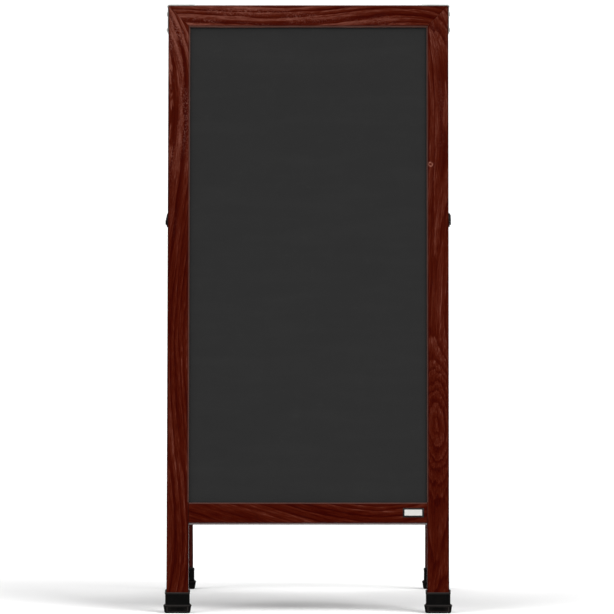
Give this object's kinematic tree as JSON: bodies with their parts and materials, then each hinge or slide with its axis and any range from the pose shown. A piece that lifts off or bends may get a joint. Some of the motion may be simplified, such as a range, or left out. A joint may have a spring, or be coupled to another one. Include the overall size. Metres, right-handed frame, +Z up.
{
  "type": "sandwich board",
  "caption": "Folding A-frame chalkboard with dark stained wood frames, corner hinges along the top, folding side braces and black rubber boots.",
  "frame": {"origin": "on the floor, centred between the four boots of the open board", "axes": "+X across the board to the right as one faces the front board, +Y from the front board to the rear board, +Z up"},
  "size_m": [0.4978, 0.5698, 1.039],
  "materials": {
    "stained_wood": "open-grained hardwood, dark cherry stain under satin lacquer",
    "dowel_wood": "plain beech",
    "chalkboard": "matt charcoal writing laminate",
    "board_core": "raw fibreboard",
    "board_backing": "matt black laminate",
    "boot_rubber": "matt black moulded rubber",
    "plated_steel": "bright zinc plate",
    "screw_steel": "bright zinc plate",
    "black_steel": "black oxide",
    "badge": "blank satin black plate with a plain pale field"
  },
  "bodies": {
    "front_frame": {"front_left_stile": "stained_wood", "front_right_stile": "stained_wood", "front_top_rail": "stained_wood", "front_lower_rail": "stained_wood", "front_writing_surface": "chalkboard", "front_board_core": "board_core", "front_board_backing": "board_backing", "front_mitre_dowels": "dowel_wood", "front_rail_dowels": "dowel_wood", "front_left_boot": "boot_rubber", "front_right_boot": "boot_rubber", "front_left_hinge_leaf": "plated_steel", "front_right_hinge_leaf": "plated_steel", "front_hinge_screws": "screw_steel", "front_brace_screws": "black_steel", "left_hinge_pin": "plated_steel", "right_hinge_pin": "plated_steel", "front_badge": "badge"},
    "rear_frame": {"rear_left_stile": "stained_wood", "rear_right_stile": "stained_wood", "rear_top_rail": "stained_wood", "rear_lower_rail": "stained_wood", "rear_writing_surface": "chalkboard", "rear_board_core": "board_core", "rear_board_backing": "board_backing", "rear_mitre_dowels": "dowel_wood", "rear_rail_dowels": "dowel_wood", "rear_left_boot": "boot_rubber", "rear_right_boot": "boot_rubber", "rear_left_hinge_leaf": "plated_steel", "rear_right_hinge_leaf": "plated_steel", "rear_hinge_screws": "screw_steel", "rear_brace_screws": "black_steel", "rear_brace_spacers": "black_steel", "bumpers": "boot_rubber"},
    "left_front_link": {"left_front_link": "black_steel", "left_front_rivet": "black_steel"},
    "left_rear_link": {"left_rear_link": "black_steel", "left_rear_rivet": "black_steel"},
    "right_front_link": {"right_front_link": "black_steel", "right_front_rivet": "black_steel"},
    "right_rear_link": {"right_rear_link": "black_steel", "right_rear_rivet": "black_steel"}
  },
  "joints": [
    {"name": "fold", "type": "hinge", "parent": "front_frame", "child": "rear_frame", "pos_m": [0, 0, 1.03544], "axis": [-1, 0, 0], "range_deg": [0, 28]},
    {"name": "left_front_link_pivot", "type": "hinge", "parent": "front_frame", "child": "left_front_link", "pos_m": [0, -0.10648, 0.66417], "axis": [1, 0, 0], "range_deg": [0, 68.77]},
    {"name": "left_rear_link_pivot", "type": "hinge", "parent": "rear_frame", "child": "left_rear_link", "pos_m": [0, 0.10648, 0.66417], "axis": [-1, 0, 0], "range_deg": [0, 68.77]},
    {"name": "right_front_link_pivot", "type": "hinge", "parent": "front_frame", "child": "right_front_link", "pos_m": [0, -0.10648, 0.66417], "axis": [1, 0, 0], "range_deg": [0, 68.77]},
    {"name": "right_rear_link_pivot", "type": "hinge", "parent": "rear_frame", "child": "right_rear_link", "pos_m": [0, 0.10648, 0.66417], "axis": [-1, 0, 0], "range_deg": [0, 68.77]}
  ],
  "couplings": [
    {"joint": "left_front_link_pivot", "follows": "fold", "ratio": 2.4541},
    {"joint": "left_rear_link_pivot", "follows": "fold", "ratio": 2.4541},
    {"joint": "right_front_link_pivot", "follows": "fold", "ratio": 2.4541},
    {"joint": "right_rear_link_pivot", "follows": "fold", "ratio": 2.4541}
  ]
}
